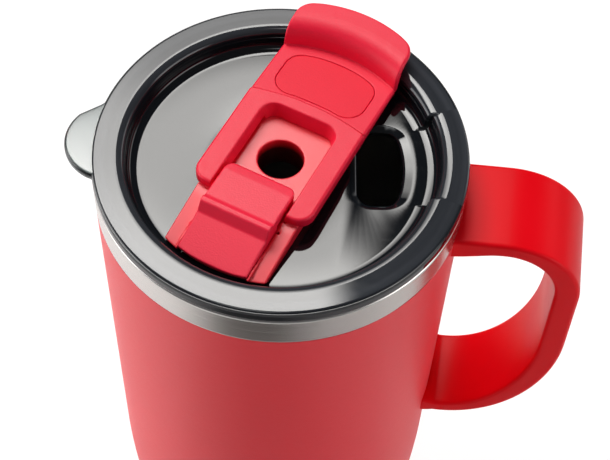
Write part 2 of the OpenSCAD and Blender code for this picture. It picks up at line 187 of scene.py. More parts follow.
# ------------------------------------------------------------------ mesh helpers
def link_object(name, data):
    ob = bpy.data.objects.new(name, data)
    bpy.context.scene.collection.objects.link(ob)
    return ob


def put(name, verts, faces, body, mat, place=UNTURNED, slot=None, replaces=None,
        normals=None, sharp=38.0, weld=False):
    verts = np.asarray(verts, float) @ place[:3, :3].T + place[:3, 3]
    mesh = bpy.data.meshes.new(name)
    mesh.from_pydata((verts * 0.001).tolist(), [], [list(map(int, f)) for f in faces])
    if weld:
        bm = bmesh.new()
        bm.from_mesh(mesh)
        bmesh.ops.remove_doubles(bm, verts=bm.verts, dist=2e-7)
        bmesh.ops.dissolve_degenerate(bm, dist=1e-8, edges=bm.edges)
        bmesh.ops.recalc_face_normals(bm, faces=bm.faces)
        bm.to_mesh(mesh)
        bm.free()
    mesh.validate()
    mesh.update()
    mesh.polygons.foreach_set("use_smooth", [True] * len(mesh.polygons))
    if sharp:
        mesh.set_sharp_from_angle(angle=radians(sharp))
    if normals is not None:
        turned_normals = np.asarray(normals, float) @ place[:3, :3].T
        mesh.normals_split_custom_set_from_vertices(turned_normals.tolist())
    mesh.materials.append(mat)
    ob = link_object(name, mesh)
    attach(ob, body)
    if replaces:
        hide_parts(replaces)


def revolve(profile, n=320):
    """Closed profile (r, z) turned about Z in n steps."""
    P = np.array(supports(list(profile) + [profile[0]])[:-1], float)
    m = len(P)
    A = np.arange(n) * 2 * pi / n
    verts = np.stack([np.outer(np.cos(A), P[:, 0]), np.outer(np.sin(A), P[:, 0]),
                      np.tile(P[:, 1], (n, 1))], -1).reshape(-1, 3)
    i, j = np.meshgrid(np.arange(n), np.arange(m), indexing="ij")
    a, b = i * m + j, i * m + (j + 1) % m
    c, d = ((i + 1) % n) * m + (j + 1) % m, ((i + 1) % n) * m + j
    return verts, np.stack([a, b, c, d], -1).reshape(-1, 4)


def bridges(rings, count, first=0):
    """Quads between successive closed rings of count vertices each."""
    faces = []
    for s in range(rings - 1):
        a, b = first + s * count, first + (s + 1) * count
        for j in range(count):
            k = (j + 1) % count
            faces.append((a + j, a + k, b + k, b + j))
    return faces


# ------------------------------------------------------------------ distance shapes
# Shapes as functions that are negative inside, meshed by dual contouring.
def meet(a, b, r):
    """What lies in both, with the edge between them rounded by r."""
    return np.minimum(-r, np.maximum(a, b)) + np.hypot(np.maximum(a + r, 0), np.maximum(b + r, 0))


def join(a, b, r):
    """What lies in either, with the corner between them filled by r."""
    return np.maximum(r, np.minimum(a, b)) - np.hypot(np.maximum(r - a, 0), np.maximum(r - b, 0))


def overlap(a, b, c):
    """What lies in all three, with sharp edges."""
    return np.maximum(np.maximum(a, b), c)


def cut(body, tool, r=0):
    """The body without the tool, with the edge rounded by r."""
    return meet(body, -tool, r) if r else np.maximum(body, -tool)


def between(value, low, high):
    return np.maximum(low - value, value - high)


def outline_sd(outline):
    """Signed distance to a closed outline."""
    corners = [(float(p[0]), float(p[1])) for p in outline]

    def distance(x, y):
        nearest = np.full(x.shape, 1e9, x.dtype)
        odd = np.zeros(x.shape, bool)
        for i, (ax, ay) in enumerate(corners):
            bx, by = corners[i - 1]
            ex, ey = bx - ax, by - ay
            if ex * ex + ey * ey < 1e-12:
                continue
            wx, wy = x - ax, y - ay
            t = np.clip((wx * ex + wy * ey) / (ex * ex + ey * ey), 0, 1)
            nearest = np.minimum(nearest, (wx - ex * t) ** 2 + (wy - ey * t) ** 2)
            left = ex * wy > ey * wx
            odd ^= ((y >= ay) & (y < by) & left) | ((y < ay) & (y >= by) & ~left)
        return np.where(odd, -1, 1) * np.sqrt(nearest)
    return distance


def sample_grid(f, low, high, h):
    """Grid corner and f on a grid of pitch h, exact only in the blocks near the surface."""
    block = 4
    low = np.array(low, float) - h * 0.37
    blocks = np.ceil((np.array(high, float) + h * 0.37 - low) / (h * block)).astype(int)
    axes = [low[k] + (np.arange(blocks[k]) + 0.5) * h * block for k in range(3)]
    middles = np.stack(np.meshgrid(*axes, indexing="ij"), -1).reshape(-1, 3)
    coarse = f(middles.astype(np.float32)).reshape(blocks)
    near = np.abs(coarse) < h * block * 0.87 + 0.35
    for axis in range(3):
        coarse = np.repeat(coarse, block, axis)
        near = np.repeat(near, block, axis)
    field = np.pad(coarse, ((0, 1),) * 3, mode="edge").astype(np.float32)
    exact = np.zeros(field.shape, bool)
    nx, ny, nz = near.shape
    for dx, dy, dz in np.ndindex(2, 2, 2):
        exact[dx:dx + nx, dy:dy + ny, dz:dz + nz] |= near
    P = (low + np.argwhere(exact) * h).astype(np.float32)
    chunk = 400000
    field[exact] = np.concatenate([f(P[i:i + chunk]) for i in range(0, len(P), chunk)])
    field[np.abs(field) < 1e-6] = 1e-6
    return low, field


def gradient(f, P, eps):
    G = np.zeros(P.shape)
    for k in range(3):
        d = np.zeros(3)
        d[k] = eps
        G[:, k] = f(P + d) - f(P - d)
    return G / np.maximum(np.linalg.norm(G, axis=1, keepdims=True), 1e-9)


def crossings(field, low, h, stride):
    """For each grid edge that crosses the surface: its four cells and the crossing point."""
    inside = field < 0
    cells = np.array(field.shape) - 1
    quads, points = [], []
    for axis in range(3):
        here, there = [slice(None)] * 3, [slice(None)] * 3
        here[axis], there[axis] = slice(0, -1), slice(1, None)
        start = np.argwhere(inside[tuple(here)] != inside[tuple(there)])
        sides = [(axis + 1) % 3, (axis + 2) % 3]
        start = start[((start[:, sides] > 0) & (start[:, sides] < cells[sides])).all(1)]
        end = start.copy()
        end[:, axis] += 1
        f0, f1 = field[tuple(start.T)], field[tuple(end.T)]
        point = low + start * h
        point[:, axis] += h * (f0 / (f0 - f1))
        quad = []
        for back in ((0, 0), (1, 0), (1, 1), (0, 1)):
            cell = start.copy()
            cell[:, sides] -= back
            quad.append(cell @ stride)
        quad = np.stack(quad, 1)
        flip = f0 > 0
        quad[flip] = quad[flip][:, ::-1]
        quads.append(quad)
        points.append(point)
    return np.concatenate(quads), np.concatenate(points)


def contour(f, low, high, h):
    """Vertices, quads and normals of the surface f = 0, one vertex to a cell of size h."""
    low, field = sample_grid(f, low, high, h)
    cells = np.array(field.shape) - 1
    stride = np.array([cells[1] * cells[2], cells[2], 1])
    quads, edge_points = crossings(field, low, h, stride)
    edge_normals = gradient(f, edge_points, 0.02)
    ids, faces = np.unique(quads, return_inverse=True)
    faces = faces.reshape(quads.shape)
    count = len(ids)
    shared = np.bincount(faces.ravel(), minlength=count).astype(float)

    def gather(weights):
        """Sum over the crossings that touch each cell."""
        return np.bincount(faces.ravel(), weights=np.repeat(weights, 4), minlength=count)

    # each vertex is the least-squares meeting point of the planes at its cell's crossings
    mean = np.stack([gather(edge_points[:, k]) for k in range(3)], 1) / shared[:, None]
    A = np.zeros((count, 3, 3))
    B = np.zeros((count, 3))
    plane = (edge_normals * edge_points).sum(1)
    for i in range(3):
        for j in range(i, 3):
            A[:, i, j] = A[:, j, i] = gather(edge_normals[:, i] * edge_normals[:, j])
        B[:, i] = gather(edge_normals[:, i] * plane)
    B -= np.einsum("nij,nj->ni", A, mean)
    A += np.eye(3) * (0.06 * shared)[:, None, None]
    shift = np.linalg.solve(A, B[:, :, None])[:, :, 0]
    cell = np.stack([ids // stride[0], ids // stride[1] % cells[1], ids % cells[2]], 1)
    middle = low + (cell + 0.5) * h
    verts = np.clip(mean + shift, middle - 0.55 * h, middle + 0.55 * h)
    normals = gradient(f, verts, 0.04)
    verts -= normals * np.clip(f(verts), -0.05, 0.05)[:, None] * 0.8
    return verts, faces, normals


# ------------------------------------------------------------------ material helpers
def add_node(tree, kind, **settings):
    node = tree.nodes.new(kind)
    for key, value in settings.items():
        setattr(node, key, value)
    return node


def color_ramp(tree, source, stops, interpolation="LINEAR"):
    """Ramp through stops (position, level or colour)."""
    node = add_node(tree, "ShaderNodeValToRGB")
    node.color_ramp.interpolation = interpolation
    elements = node.color_ramp.elements
    while len(elements) < len(stops):
        elements.new(0.5)
    for element, (position, c) in zip(elements, stops):
        element.position = position
        element.color = (*c, 1) if isinstance(c, tuple) else (c, c, c, 1)
    tree.links.new(source, node.inputs[0])
    return node.outputs[0]


class Material:
    """Node material around a Principled shader. Its methods return output sockets."""

    def __init__(self, name):
        self.data = bpy.data.materials.new(name)
        self.data.use_nodes = True
        self.tree = self.data.node_tree
        self.tree.nodes.clear()
        self.out = self.node("ShaderNodeOutputMaterial")
        self.bsdf = self.node("ShaderNodeBsdfPrincipled")
        self.link(self.bsdf.outputs[0], self.out.inputs[0])
        self.place = self.node("ShaderNodeTexCoord").outputs["Object"]

    def node(self, kind, **settings):
        return add_node(self.tree, kind, **settings)

    def link(self, a, b):
        self.tree.links.new(a, b)

    def feed(self, socket, value):
        """Links a socket, or sets a number or an RGB colour."""
        if isinstance(value, bpy.types.NodeSocket):
            self.link(value, socket)
        elif socket.type == "RGBA":
            socket.default_value = (*value, 1)
        else:
            socket.default_value = value

    def set(self, **inputs):
        for key, value in inputs.items():
            self.feed(self.bsdf.inputs[key.replace("_", " ")], value)
        return self.data

    def mapping(self, scale, rotation=(0, 0, 0), location=(0, 0, 0)):
        x = self.node("ShaderNodeMapping")
        x.inputs["Scale"].default_value = scale
        x.inputs["Rotation"].default_value = rotation
        x.inputs["Location"].default_value = location
        self.link(self.place, x.inputs["Vector"])
        return x.outputs[0]

    def noise(self, scale=1.0, detail=3, rough=0.5, source=None):
        x = self.node("ShaderNodeTexNoise")
        x.inputs["Scale"].default_value = scale
        x.inputs["Detail"].default_value = detail
        x.inputs["Roughness"].default_value = rough
        self.link(source or self.place, x.inputs["Vector"])
        return x.outputs["Fac"]

    def voronoi(self, scale, source=None, feature="F1"):
        x = self.node("ShaderNodeTexVoronoi", feature=feature)
        x.inputs["Scale"].default_value = scale
        self.link(source or self.place, x.inputs["Vector"])
        return x.outputs["Distance"]

    def ramp(self, fac, stops):
        return color_ramp(self.tree, fac, stops)

    def fade(self, fac, span, levels=(0.0, 1.0)):
        """Goes from one level to the other while fac crosses the span."""
        return self.ramp(fac, list(zip(span, levels)))

    def math(self, operation, *values, clamp=False):
        x = self.node("ShaderNodeMath", operation=operation, use_clamp=clamp)
        for socket, value in zip(x.inputs, values):
            self.feed(socket, value)
        return x.outputs[0]

    def plus(self, a, b):
        return self.math("ADD", a, b)

    def times(self, a, b, clamp=False):
        return self.math("MULTIPLY", a, b, clamp=clamp)

    def scaled(self, value, factor, offset, clamp=False):
        return self.math("MULTIPLY_ADD", value, factor, offset, clamp=clamp)

    def around(self, fac, middle, width):
        """Spreads fac 0..1 over a width about the middle."""
        return self.scaled(fac, factor=width, offset=middle - width / 2)

    def weighted(self, first, second):
        """Sum of two (value, weight) pairs."""
        return self.plus(self.times(*first), self.times(*second))

    def mix(self, fac, a, b):
        x = self.node("ShaderNodeMix", data_type="RGBA", blend_type="MIX")
        for socket, value in ((x.inputs[0], fac), (x.inputs[6], a), (x.inputs[7], b)):
            self.feed(socket, value)
        return x.outputs[2]

    def bump(self, height, distance, strength):
        """Bump whose distance is in metres."""
        x = self.node("ShaderNodeBump")
        x.inputs["Strength"].default_value = strength
        x.inputs["Distance"].default_value = distance
        self.link(height, x.inputs["Height"])
        return x.outputs[0]

    def separate(self, source):
        x = self.node("ShaderNodeSeparateXYZ")
        self.link(source, x.inputs[0])
        return x.outputs

    def combine(self, *parts):
        x = self.node("ShaderNodeCombineXYZ")
        for part, socket in zip(parts, x.inputs):
            self.link(part, socket)
        return x.outputs[0]

    def square_sum(self, x, y):
        return self.plus(self.times(x, x), self.times(y, y))

    def polar(self):
        """Radius from Z in metres, angle about Z, and z."""
        x, y, z = self.separate(self.place)
        return self.math("SQRT", self.square_sum(x, y)), self.math("ARCTAN2", y, x), z


def tint(color, factor, add=0):
    return tuple(min(1, factor * c + add) for c in color)


def srgb(*color):
    """Linear colour from 0..255 display levels, none of them near black."""
    return tuple(((v / 255 + 0.055) / 1.055) ** 2.4 for v in color)


# ------------------------------------------------------------------ materials
def matte_plastic(name, color, dark, rough, spec):
    """Moulded plastic with a fine spark-eroded texture."""
    m = Material(name)
    big = m.noise(scale=60, detail=3, rough=0.55)
    fine = m.noise(scale=2600, detail=2, rough=0.6)
    cells = m.voronoi(scale=1900)
    base = m.mix(m.fade(big, span=(0.35, 0.7)), dark, color)
    speck = m.mix(m.fade(fine, span=(0.3, 0.75)), tint(color, 0.93), tint(color, 1.05))
    return m.set(
        Base_Color=m.mix(0.5, base, speck),
        Roughness=m.around(m.noise(scale=900, detail=2), middle=rough, width=0.16),
        Normal=m.bump(m.weighted((fine, 0.6), (cells, 0.5)), distance=0.00006, strength=0.55),
        Specular_IOR_Level=spec,
        Subsurface_Radius=(0.0035, 0.0009, 0.0007),
        Subsurface_Scale=1.0)


BORE_SHADE_R = 7.2                   # the painted shade covers everything nearer the axis than this
BORE_SHADE_DEPTH, BORE_SHADE_RUN = 4.375, 2.5     # it begins this deep and is full after the run


def painted_bore_shade(m, base):
    """Painted shade: darkens the straw bore below its mouth."""
    x, y, z = m.separate(m.place)
    inside = m.math("LESS_THAN", m.square_sum(x, y), (BORE_SHADE_R * 0.001) ** 2)
    depth = m.scaled(z, factor=-1000 / BORE_SHADE_RUN, offset=(FLANGE_Z - BORE_SHADE_DEPTH) / BORE_SHADE_RUN)
    deep = m.fade(depth, span=(0.0, 1.0))
    return m.mix(m.times(inside, deep), base, (0.05, 0.0015, 0.003))


def gloss_plastic(name, color, dark, rough, spec, bore_shade=None):
    """Polished mould face: faint flow waviness and hairline scuffs."""
    m = Material(name)
    flow = m.noise(scale=35, detail=2)
    base = m.mix(m.fade(flow, span=(0.3, 0.75)), dark, color)
    if bore_shade:
        # painted shade down the straw bore
        base = bore_shade(m, base)
    scuff = m.noise(detail=4, rough=0.6,
                    source=m.mapping(scale=(420, 90, 160), rotation=(0.2, 0.1, 0.5)))
    scuffed = m.fade(scuff, span=(0.5, 0.8), levels=(rough - 0.02, rough + 0.02))
    return m.set(
        Base_Color=base,
        Roughness=m.plus(scuffed, m.times(m.noise(scale=220), 0.02)),
        Normal=m.bump(flow, distance=0.0005, strength=0.05),
        Specular_IOR_Level=spec,
        Coat_Roughness=0.08)


def powder_coat(name, color, dark):
    """Matte powder coat: tiny domes, slight orange peel."""
    m = Material(name)
    peel = m.noise(scale=420, detail=2)
    grain = m.noise(scale=3200, detail=2, rough=0.65)
    base = m.mix(m.fade(m.noise(scale=18), span=(0.3, 0.7)), dark, color)
    speck = m.fade(grain, span=(0.55, 0.9), levels=(0.0, 0.22))
    return m.set(
        Base_Color=m.mix(speck, base, tint(color, 1.25, add=0.02)),
        Roughness=m.around(grain, middle=0.47, width=0.18),
        Normal=m.bump(m.weighted((peel, 0.8), (grain, 0.35)), distance=0.00009, strength=0.45),
        Specular_IOR_Level=0.6,
        Sheen_Weight=0.14,
        Sheen_Roughness=0.35,
        Sheen_Tint=(1, 0.9, 0.9))


def brushed(name, color):
    """Steel turned on a lathe: hairlines run round the axis."""
    m = Material(name)
    radius, angle, z = m.polar()

    def rings(around, across, detail, rough):
        """Noise stretched round the axis; around and across are its densities."""
        source = m.combine(m.times(angle, around), m.times(z, across), m.times(radius, across))
        return m.noise(detail=detail, rough=rough, source=source)

    lines = rings(around=0.55, across=2600, detail=5, rough=0.62)
    hair = rings(around=3.0, across=6500, detail=3, rough=0.5)
    base = m.mix(m.fade(lines, span=(0.25, 0.75)), tint(color, 0.84), color)
    cloud = m.fade(m.noise(scale=40), span=(0.4, 0.8), levels=(0.0, 0.25))
    base = m.mix(cloud, base, tint(color, 0.8))
    rough = m.plus(m.times(lines, 0.16), m.around(hair, middle=0.16, width=0.1))
    bore = m.math("LESS_THAN", radius, 0.0472)      # the bore is made duller and painted a darker grey than the band: painted shade for the dark inside of the mug
    tangent = m.node("ShaderNodeTangent", direction_type="RADIAL", axis="Z")
    return m.set(
        Base_Color=m.mix(m.times(bore, 0.6), base, (0.50, 0.50, 0.49)),
        Roughness=m.scaled(bore, factor=0.16, offset=rough),
        Metallic=m.scaled(bore, factor=-0.5, offset=1.0),
        Normal=m.bump(m.weighted((lines, 0.7), (hair, 0.4)), distance=0.00006, strength=0.35),
        Anisotropic=0.6,
        Tangent=tangent.outputs[0])


def painted_rim_light(m, tone):
    """Painted light: a cool grey painted into the lid from the inner radius set below out to the
    rim, varied in streaks. It stands for the steel seen through the smoked flange and the sheen on
    the dish wall.
    """
    RIM_LIGHT_R = 40.0
    width = RIM_R - RIM_LIGHT_R
    radius, angle, _ = m.polar()
    off = m.math("ABSOLUTE", m.math("SUBTRACT", angle, radians(LID_TURN)))
    in_pour = m.math("LESS_THAN", off, radians(POUR_HALF))
    radius = m.math("SUBTRACT", radius, m.times(in_pour, POUR_OUT * 0.001))
    rim_light = m.ramp(m.scaled(radius, factor=1000 / width, offset=-RIM_LIGHT_R / width),
                  [(0.0, 0.0), (0.035, 0.0), (0.08, 0.5), (0.34, 0.62),
                   (0.56, 0.6), (0.72, 0.95), (0.86, 0.7), (0.95, 0.12)])
    light_streaks = m.noise(rough=0.55, source=m.combine(m.times(angle, 1.6), m.times(radius, 420)))
    fac = m.times(rim_light, m.scaled(light_streaks, factor=1.1, offset=0.5))
    return m.mix(fac, tone, (0.046, 0.050, 0.059))


def painted_edge_shade(m, tone):
    """Painted shade: sloped edges are painted fully dark and upright sides partly, for the dark
    outline that refraction gives round the ear's edges.
    """
    normal = m.separate(m.node("ShaderNodeNewGeometry").outputs["Normal"])
    edge = m.ramp(m.math("ABSOLUTE", normal[2]),
                  [(0.0, 0.35), (0.12, 0.4), (0.3, 1.0), (0.82, 1.0), (0.97, 0.0)])
    return m.mix(edge, tone, (0.004, 0.005, 0.007))


def smoked(name, color, transmission, rough, ior, shade):
    """Smoked clear plastic with faint swirl marks from handling."""
    m = Material(name)
    swirl = m.noise(detail=4, rough=0.6,
                    source=m.mapping(scale=(50, 420, 300), rotation=(0, 0, 0.8)))
    dust = m.noise(scale=800, detail=2, rough=0.7)
    swirled = m.fade(swirl, span=(0.5, 0.8), levels=(rough, rough + 0.03))
    dusty = m.fade(dust, span=(0.62, 0.8), levels=(0.0, 0.03))
    tone = m.mix(m.noise(scale=25, detail=2), tint(color, 0.9), tint(color, 1.1))
    return m.set(
        # shade paints light into the lid's colour and shade into the ear's
        Base_Color=shade(m, tone),
        Roughness=m.plus(swirled, dusty),
        IOR=ior,
        Normal=m.bump(m.noise(scale=24, detail=2, rough=0.4), distance=0.0004, strength=0.03),
        Transmission_Weight=transmission)


def rubber(name, color, rough, grain):
    """Dull rubber; grain is its bump distance in metres."""
    m = Material(name)
    tone = m.noise(scale=150, detail=4, rough=0.6)
    fine = m.noise(scale=1800, detail=2, rough=0.6)
    return m.set(
        Base_Color=m.mix(m.fade(tone, span=(0.3, 0.7)), tint(color, 0.82), color),
        Roughness=m.around(fine, middle=rough, width=0.22),
        Normal=m.bump(fine, distance=grain, strength=0.4))


def metal(name, color, rough):
    """Plain stamped steel: rolling grain and small tone changes."""
    m = Material(name)
    grain = m.noise(detail=4, rough=0.6, source=m.mapping(scale=(180, 2600, 900)))
    tone = m.noise(scale=90)
    return m.set(
        Base_Color=m.mix(m.fade(tone, span=(0.3, 0.7)), tint(color, 0.82), color),
        Roughness=m.around(grain, middle=rough, width=0.2),
        Metallic=1.0,
        Normal=m.bump(grain, distance=0.00004, strength=0.35))


def foil(name):
    """Thin copper foil with creases."""
    m = Material(name)
    crease = m.voronoi(95, m.mapping(scale=(1, 1, 0.6)), "DISTANCE_TO_EDGE")
    soft = m.noise(scale=260, detail=4, rough=0.6)
    ridge = m.fade(crease, span=(0.0, 0.12), levels=(1.0, 0.0))
    return m.set(
        Base_Color=m.mix(soft, srgb(176, 104, 66), srgb(214, 142, 98)),
        Roughness=m.around(soft, middle=0.3, width=0.2),
        Metallic=1.0,
        Normal=m.bump(m.plus(ridge, m.times(soft, 0.4)), distance=0.0003, strength=0.5))


M_COVER = matte_plastic("cover_plastic", color=(0.84, 0.004, 0.038),
                        dark=(0.81, 0.003, 0.033), rough=0.48, spec=0.42)
M_BADGE = matte_plastic("badge_plastic", color=(0.83, 0.003, 0.030),
                        dark=(0.80, 0.002, 0.026), rough=0.48, spec=0.3)
M_SLIDER = matte_plastic("slider_plastic", color=(0.85, 0.010, 0.048),
                         dark=(0.82, 0.008, 0.042), rough=0.46, spec=0.44)
# the rotor gets painted shade down its straw bore
M_ROTOR = gloss_plastic("rotor_plastic", color=(0.82, 0.014, 0.036),
                        dark=(0.78, 0.012, 0.031), rough=0.34, spec=0.5, bore_shade=painted_bore_shade)
M_HANDLE = gloss_plastic("handle_plastic", color=(0.86, 0.002, 0.009),
                         dark=(0.82, 0.0015, 0.007), rough=0.36, spec=0.09)
M_COAT = powder_coat("powder_coat", color=(0.85, 0.002, 0.017), dark=(0.81, 0.0015, 0.014))
M_STEEL = brushed("brushed_steel", color=(0.62, 0.60, 0.575))
# the lid gets painted light near its rim
M_LID = smoked("smoked_plastic", color=(0.006, 0.0075, 0.010), transmission=0.12,
               rough=0.045, ior=1.46, shade=painted_rim_light)
# the ear gets painted shade at its edges
M_EAR = smoked("smoked_ear", color=(0.25, 0.285, 0.285), transmission=0.55,
               rough=0.12, ior=1.52, shade=painted_edge_shade)
M_SILICONE = rubber("silicone", color=srgb(206, 206, 202), rough=0.4, grain=0.00005)
M_FOOT = rubber("foot_rubber", color=(0.02, 0.02, 0.022), rough=0.7, grain=0.00012)
M_METAL = metal("stamped_steel", color=(0.55, 0.54, 0.52), rough=0.3)
M_GETTER = metal("getter_metal", color=(0.3, 0.29, 0.27), rough=0.5)
M_FOIL = foil("copper_foil")

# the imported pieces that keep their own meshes
for mat, nodes in (
        (M_METAL, ("base_cap", "bracket_upper", "bracket_lower", "handle_screws")),
        (M_GETTER, ("vacuum_seal", "getter")),
        (M_FOIL, ("reflector_foil",)),
        (M_FOOT, ("foot_pad",)),
        (M_SILICONE, ("lid_gasket", "hub_seal", "drink_pad", "slider_seal")),
        (M_ROTOR, ("hub_retainer",))):
    for node in nodes:
        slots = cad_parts[node].data.materials
        slots.clear()
        slots.append(mat)


# ------------------------------------------------------------------ vessel
# Profiles are (r, z), or (r, z, corner radius) inside rounded().
def wall(z0, z1, depth):
    """Wall from z0 to z1, set in from the outside by depth."""
    n = 60
    heights = [z0 + (z1 - z0) * i / n for i in range(n + 1)]
    return [(wall_r(z) - depth, z) for z in heights]


def make_shell():
    band_r = wall_r(BAND_Z)
    foot = rounded([(37.5, 1.8, 0), (37.5, 1, 0.3), (wall_r(1) - 1.4, 1, 0.35),
                    (wall_r(1) - 0.5, 1.3, 0.5), (wall_r(1) - 0.05, 2.2, 0.7),
                    (wall_r(3.4), 3.4, 0)], 8, True)
    top = [(band_r - 0.03, BAND_Z - 0.16), (band_r - 0.1, BAND_Z - 0.05),
           (band_r - 0.22, BAND_Z - 0.01), (band_r - SHEET + 0.1, BAND_Z - 0.01)]
    inside = (wall(3.4, BAND_Z - 2, SHEET)[::-1]
              + [(wall_r(3) - 1.2, 2.2), (wall_r(1) - 1.7, 1.8)])
    put("body_shell", *revolve(foot + wall(3.4, BAND_Z - 0.3, 0)[1:] + top + inside),
        "mug", M_COAT, slot="coat_red", replaces="outer_shell")


def make_vessel():
    back_gap = GAP - SHEET
    r12, r14 = wall_r(12), wall_r(14)
    bore = [(0, 10), (r12 - GAP - 9, 10)]
    bore += spline([(r12 - GAP - 9, 10), (r12 - GAP - 4.5, 11.2), (r14 - GAP - 1.4, 14.2),
                    (wall_r(18) - GAP, 18)], 6)[1:]
    bore += wall(18, RIM_Z - 1.2, GAP)[1:]
    lip = rounded([(RIM_R - GAP, RIM_Z - 1.2, 0), (RIM_R - GAP, RIM_Z, 0.9),
                   (RIM_R, RIM_Z, 0.9), (RIM_R, RIM_Z - 1.3, 0)], 10, True)[1:]
    band = [(RIM_R - DRAFT * (RIM_Z - z), z)
            for z in np.linspace(RIM_Z - 1.6, BAND_Z + 0.12, 14)]
    tuck_z = BAND_Z - 4         # the sheet runs down behind the shell to here
    band += [(wall_r(BAND_Z) - 0.06, BAND_Z + 0.03), (wall_r(BAND_Z) - 0.2, BAND_Z),
             (wall_r(BAND_Z) - SHEET, BAND_Z), (wall_r(tuck_z) - SHEET, tuck_z),
             (wall_r(tuck_z) - 2 * SHEET, tuck_z), (RIM_R - 2 * SHEET, RIM_Z - 1.6),
             (RIM_R - back_gap, RIM_Z - 1.6)]
    back = wall(18, RIM_Z - 3, back_gap)[::-1]
    back += [(r14 - back_gap - 1.1, 13.4), (r12 - back_gap - 4.6, 10.2),
             (r12 - back_gap - 9, 9.2), (0, 9.2)]
    put("inner_vessel", *revolve(bore + lip + band + back), "mug", M_STEEL,
        slot="brushed_band", replaces="inner_liner", weld=True)


make_shell()
make_vessel()

# ------------------------------------------------------------------ handle
ARM_TOP = BAND_Z + 2.05
ARM_BOT = ARM_TOP - STRAP_H
ROOT_T = 6.6                    # thickness of the lower arm at the wall
ROOT_X = 40                     # arms are drawn from here, then fitted to the wall
LOW_X, HIGH_X = 50.0, 55.0      # how far out that fit reaches on each arm
LOW_STEPS = 12
GRIP_T = 1.8                    # extra thickness along the grip
TOP_WIDER = 0.85                # extra half width at the top
EDGE = 1.15                     # radius of the strap's long edges
EDGE_STEPS, SIDE_STEPS, WIDE_STEPS = 8, 3, 10
HALF_W = STRAP_W / 2
BEND_X = STRAP_X - STRAP_T      # inner face of the grip, before its extra thickness
# bends are quarter ellipses in x, z: (centre, half axis in x, half axis in z)
LOW_BEND = (np.array([50, ARM_BOT + ROOT_T - 0.6 + 44.0]), BEND_X - 50, 44.0)
TOP_BEND = (np.array([BEND_X - 16.5, ARM_TOP - STRAP_T - 17.0]), 16.5, 17.0)
# underside of the upper arm: (x, depth below ARM_TOP)
UPPER_ARM = [(TOP_BEND[0][0], 5), (60, 5.1), (57.5, 5.5), (55, 6.2),
             (51.2, 6.85), (47.5, 7.45), (44, 7.95), (ROOT_X, 8.4)]


def bend_pair(bend, angle):
    """Inner and outer point of the strap at an angle of a bend."""
    centre, across, height = bend
    c, s = cos(radians(angle)), sin(radians(angle))
    return np.array([centre + np.array([a * c, height * s]) + thick * unit([c / a, s / height])
                     for a, thick in ((across - GRIP_T, 0), (across, STRAP_T))])


def strap_stations():
    """Pairs of inner and outer points (x, z) from the lower arm's end to the upper's."""
    centre, _, height = LOW_BEND
    rise = centre[1] - height - STRAP_T - ARM_BOT
    pairs = []
    for i in range(LOW_STEPS):
        x = ROOT_X + 10 * i / LOW_STEPS
        t = (i / LOW_STEPS) ** 2
        pairs.append(((x, ARM_BOT + ROOT_T - 0.6 * t), (x, ARM_BOT + rise * t)))
    pairs += [bend_pair(LOW_BEND, -90 + 2 * i) for i in range(46)]
    for i in range(1, 6):
        t = i / 6
        pairs.append((1 - t) * bend_pair(LOW_BEND, 0) + t * bend_pair(TOP_BEND, 0))
    pairs += [bend_pair(TOP_BEND, 3 * i) for i in range(31)]
    under = spline([(x, ARM_TOP - depth) for x, depth in UPPER_ARM], 5)[1:]
    top_x = TOP_BEND[0][0]
    for x, z in under:
        at = x if x > HIGH_X else 49 + (x - ROOT_X) * 0.4   # about where the wall fit puts it
        fall = 1.7 * (max(0.0, top_x - at) / (top_x - ROOT_X)) ** 1.5
        pairs.append(((x, z), (x, ARM_TOP - fall)))
    return np.array(pairs, float), len(under)


def strap_ring(inner, outer):
    """Section of the strap as a ring of points, starting on its +Y side."""
    thick = np.linalg.norm(outer - inner)
    across = (outer - inner) / thick
    flat = HALF_W - EDGE
    # corner centre (across the thickness, y), end of the straight run after it, its steps
    corners = ((thick - EDGE, flat, (thick, -flat), WIDE_STEPS),
               (thick - EDGE, -flat, (EDGE, -HALF_W), SIDE_STEPS),
               (EDGE, -flat, (0, flat), WIDE_STEPS),
               (EDGE, flat, (thick - EDGE, HALF_W), SIDE_STEPS))
    turn = [radians(90 * k / EDGE_STEPS) for k in range(EDGE_STEPS + 1)]
    arc_points = [(sin(a), cos(a)) for a in turn]
    section = []
    for a, y, (end_a, end_y), steps in corners:
        section += [(a + EDGE * da, y + EDGE * dy) for da, dy in arc_points]
        arc_points = [(dy, -da) for da, dy in arc_points]
        last_a, last_y = section[-1]
        for k in range(1, steps):
            w = k / steps
            if steps == WIDE_STEPS:
                w = w * w * (3 - 2 * w)
            section.append((last_a + (end_a - last_a) * w, last_y + (end_y - last_y) * w))
    ring = []
    for a, y in section:        # the strap is a little wider at the top
        z = inner[1] + across[1] * a
        wider = 1 + TOP_WIDER / HALF_W * (z - ARM_BOT) / STRAP_H
        ring.append((inner[0] + across[0] * a, y * wider, z))
    return ring


def make_handle():
    pairs, upper_count = strap_stations()
    rings = np.array([strap_ring(inner, outer) for inner, outer in pairs])
    # the two ends follow the wall, sunk 0.3 into its sheet
    for end, join_x in ((rings[:LOW_STEPS + 1], LOW_X), (rings[-upper_count:], HIGH_X)):
        for point in end.reshape(-1, 3):
            x, y, z = point
            if x < join_x:
                wall_x = sqrt((wall_r(z) - 0.3) ** 2 - y * y)
                point[0] = wall_x + (x - ROOT_X) / (join_x - ROOT_X) * (join_x - wall_x)
    stations, count = rings.shape[:2]
    faces = bridges(stations, count)
    faces.append(tuple(range(count)))
    faces.append(tuple(reversed(range((stations - 1) * count, stations * count))))
    put("handle", rings.reshape(-1, 3), faces, "mug", M_HANDLE, slot="gloss_red",
        replaces="handle_strap", weld=True, sharp=50)


make_handle()

# ------------------------------------------------------------------ lid
FLAT_R = 43.0                   # the flange top slopes down from here
SLOPE_R = 47.9                  # to here, where its edge begins
SLOPE = 0.036
LID_UNDER = -8.1                # underside of the deck


